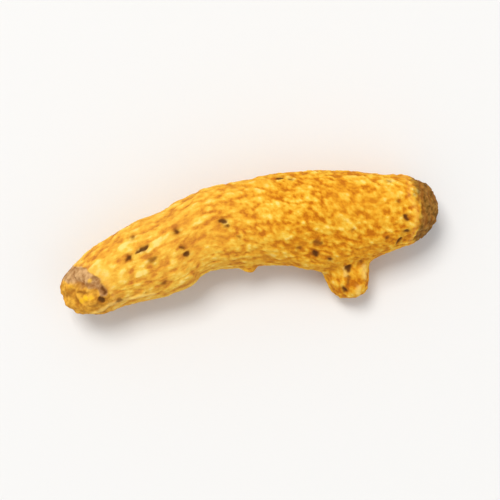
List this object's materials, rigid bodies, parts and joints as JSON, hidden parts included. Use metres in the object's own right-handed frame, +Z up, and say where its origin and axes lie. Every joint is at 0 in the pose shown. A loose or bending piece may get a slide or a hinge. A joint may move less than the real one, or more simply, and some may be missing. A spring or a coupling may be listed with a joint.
{
  "type": "dried turmeric root",
  "caption": "One whole dried turmeric finger: a bent, wrinkled yellow-orange rhizome with a broken corky end, a rounded corky tip and a short side stub, lying on its side.",
  "frame": {"origin": "on the surface that the finger lies on, under the middle of its box", "axes": "+X along the finger from its broken end to its rounded tip, +Z up from the surface, the side stub points to -Y"},
  "size_m": [0.0552, 0.02, 0.0121],
  "materials": {
    "skin": "matte"
  },
  "bodies": {
    "root": {"turmeric_finger": "skin"}
  },
  "joints": []
}
